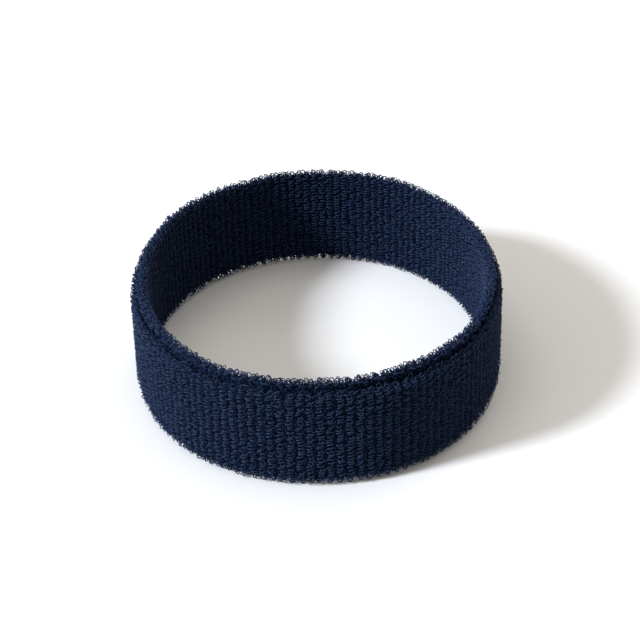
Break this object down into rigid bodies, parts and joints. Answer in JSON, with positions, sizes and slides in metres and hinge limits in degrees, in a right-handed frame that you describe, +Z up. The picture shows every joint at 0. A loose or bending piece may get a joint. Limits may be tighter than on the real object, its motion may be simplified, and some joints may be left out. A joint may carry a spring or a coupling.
{
  "type": "terry sweat headband",
  "caption": "Double-layer terry-loop knit sweat headband held to the oval of a head, with a folded lower edge, a sewn upper edge and laid-in elastic.",
  "frame": {"origin": "centre of the band's outline at the height of the folded lower edge, which is what the band stands on", "axes": "+Z up, out of the sewn upper edge; +X side to side; +Y from the back of the head to the forehead"},
  "size_m": [0.166, 0.204, 0.05],
  "materials": {
    "ground_knit": "matte close-knit ground, deep navy",
    "terry_outer": "matte cotton terry loops in upright columns, navy",
    "terry_inner": "matte cotton terry loops on the skin side, navy",
    "terry_fold": "matte cotton terry loops spread over the folded edge, navy",
    "seam_thread": "slightly shiny overlock thread, navy",
    "covered_elastic": "rubber core wrapped in dull filament, slate"
  },
  "bodies": {
    "root": {"ground_knit_tube": "ground_knit", "outer_terry_pile": "terry_outer", "inner_terry_pile": "terry_inner", "fold_terry_pile": "terry_fold", "closing_seam": "seam_thread", "elastic_yarn_1": "covered_elastic", "elastic_yarn_2": "covered_elastic", "elastic_yarn_3": "covered_elastic", "elastic_yarn_4": "covered_elastic", "elastic_yarn_5": "covered_elastic", "elastic_yarn_6": "covered_elastic", "elastic_yarn_7": "covered_elastic", "elastic_yarn_8": "covered_elastic", "elastic_yarn_9": "covered_elastic", "elastic_yarn_10": "covered_elastic"}
  },
  "joints": []
}
